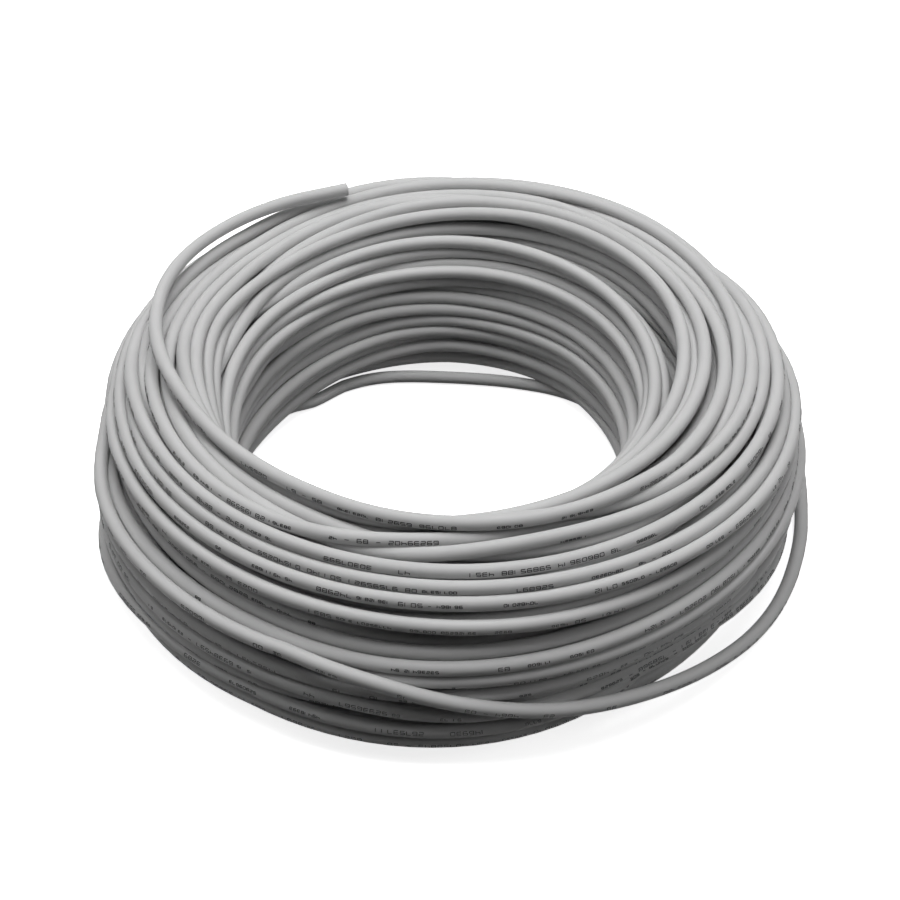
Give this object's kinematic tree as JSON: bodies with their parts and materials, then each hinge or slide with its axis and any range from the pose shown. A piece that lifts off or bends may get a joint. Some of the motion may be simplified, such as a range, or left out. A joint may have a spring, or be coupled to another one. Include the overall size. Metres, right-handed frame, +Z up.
{
  "type": "ring of multi-core cable",
  "caption": "Ring of grey screened multi-core data cable, wound in layers round an open eye, with a slack loop and a loose cut end; it lies flat on its foot.",
  "frame": {"origin": "on the ring's axis, in the middle of its eye, at the level of the floor it lies on", "axes": "+Z up along the ring's axis, -Y towards the side with the slack loop, +X to that side's right"},
  "size_m": [0.3466, 0.3467, 0.1012],
  "materials": {
    "sheath": "extruded soft PVC, semi-matt",
    "braid": "tinned copper braid",
    "foil": "laminated foil",
    "white_core": "extruded polyethylene",
    "yellow_core": "extruded polyethylene",
    "blue_core": "extruded polyethylene",
    "orange_core": "extruded polyethylene",
    "copper": "bare stranded copper",
    "filler": "plain filler cord"
  },
  "bodies": {
    "root": {"coil": "sheath", "slack_loop": "sheath", "bowed_turn": "sheath", "free_end": "sheath", "end_sheath": "sheath", "braid_screen": "braid", "foil_screen": "foil", "core_white": "white_core", "core_yellow": "yellow_core", "core_blue": "blue_core", "core_orange": "orange_core", "conductor_1": "copper", "conductor_2": "copper", "conductor_3": "copper", "conductor_4": "copper", "core_filler": "filler"}
  },
  "joints": []
}
